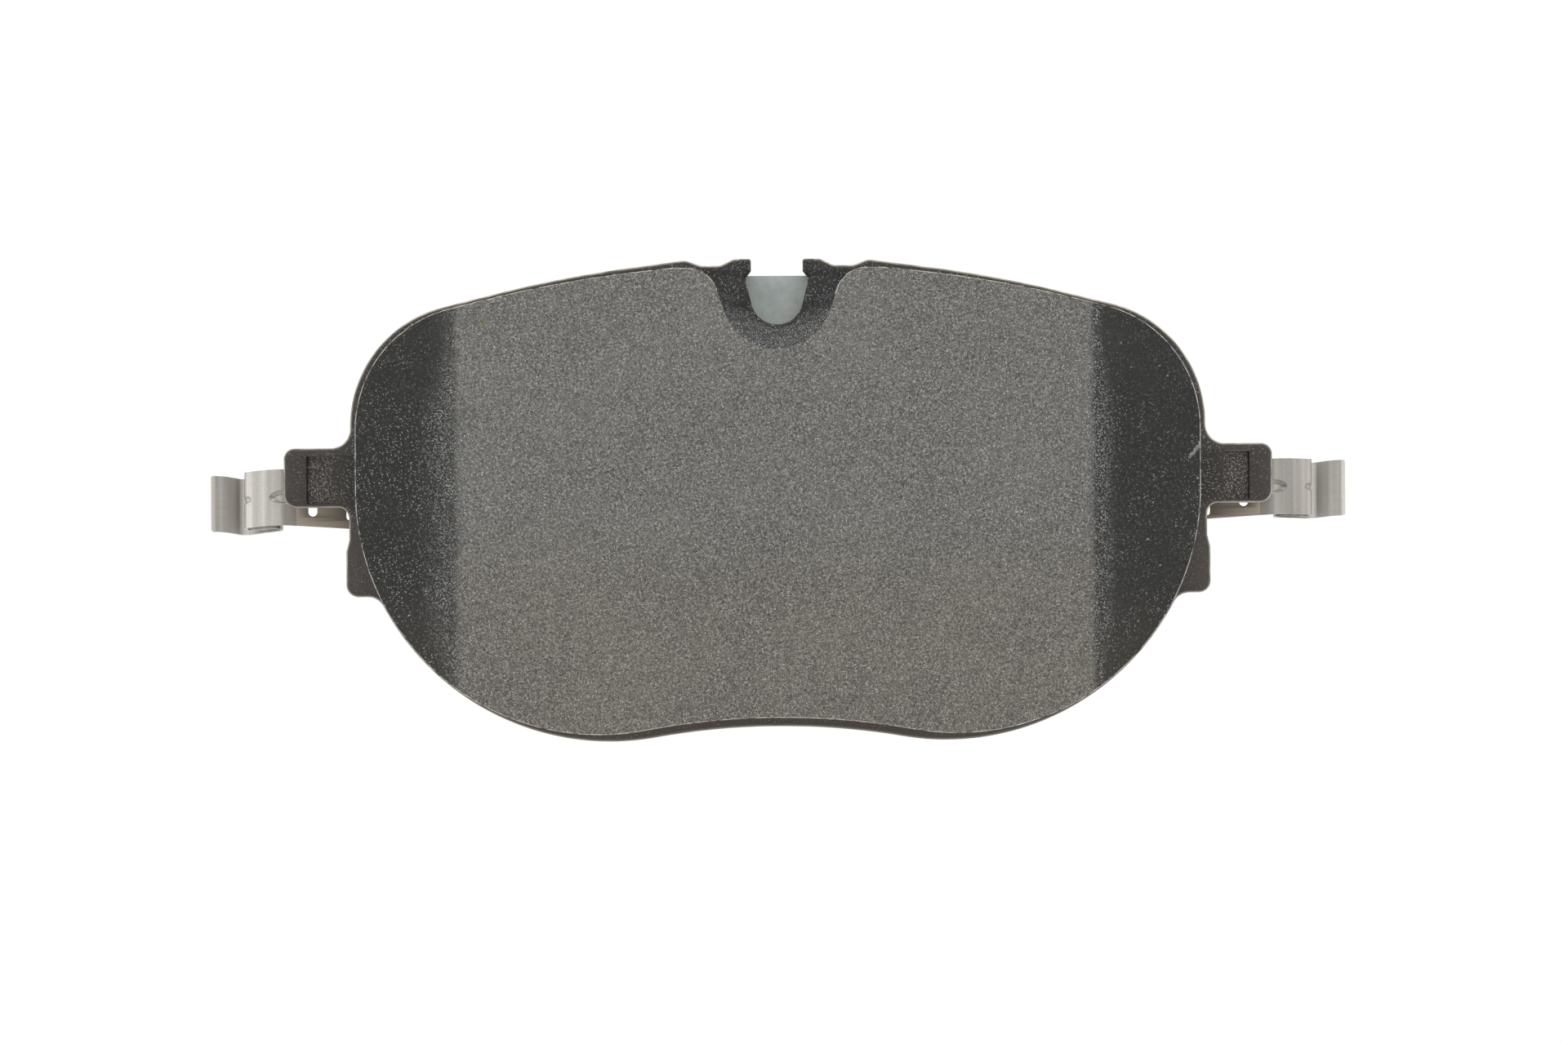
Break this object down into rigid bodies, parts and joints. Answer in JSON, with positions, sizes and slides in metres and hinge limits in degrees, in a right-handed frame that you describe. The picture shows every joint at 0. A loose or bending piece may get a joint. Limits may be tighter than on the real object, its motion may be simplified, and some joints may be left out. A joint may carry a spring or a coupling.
{
  "type": "brake pad",
  "caption": "Disc brake pad: steel backing plate with side ears and a wear-sensor notch, moulded friction lining with chamfered ends, noise shim and a folded return spring on each ear.",
  "frame": {"origin": "on the face the piston pushes on, the shim's back face, halfway between the ears and halfway between the plate's top and bottom edges", "axes": "+X from the left ear to the right ear seen from the disc, +Y radially outward to the sensor notch, +Z towards the disc"},
  "size_m": [0.1902, 0.08, 0.0267],
  "materials": {
    "shim_rubber": "thin nitrile coat, matte, dark charcoal",
    "shim_steel": "cold-rolled sheet, seen only at its cut edge",
    "damping_adhesive": "damping layer, matte, pale greenish grey, seen through the notch",
    "powder_coated_steel": "black powder coat, satin, with brownish worn edges",
    "bonding_adhesive": "thin tan phenolic line round the lining",
    "underlayer": "moulded compound, finer grained than the lining",
    "friction_material": "ground flat face, medium grey with fine light and dark grains; chamfers, edges and cut-out nearly black with pale specks",
    "spring_steel": "stainless strip, warm grey, rolled, duller on the seat behind the ear"
  },
  "bodies": {
    "pad": {"backing_plate": "powder_coated_steel", "shim_rubber_coat": "shim_rubber", "shim_steel_core": "shim_steel", "shim_damping_layer": "damping_adhesive", "bonding_adhesive": "bonding_adhesive", "underlayer": "underlayer", "friction_lining": "friction_material", "spring_seat_left": "spring_steel", "spring_seat_right": "spring_steel"},
    "left_arm": {"spring_arm_left": "spring_steel"},
    "right_arm": {"spring_arm_right": "spring_steel"}
  },
  "joints": [
    {"name": "left_spring_flex", "type": "hinge", "parent": "pad", "child": "left_arm", "pos_m": [-0.0808, 0.0009, 0.00085], "axis": [0, -1, 0], "range_deg": [0, 15], "stiffness_Nm_per_rad": 0.75},
    {"name": "right_spring_flex", "type": "hinge", "parent": "pad", "child": "right_arm", "pos_m": [0.0808, 0.0017, 0.00085], "axis": [0, 1, 0], "range_deg": [0, 15], "stiffness_Nm_per_rad": 0.75}
  ]
}
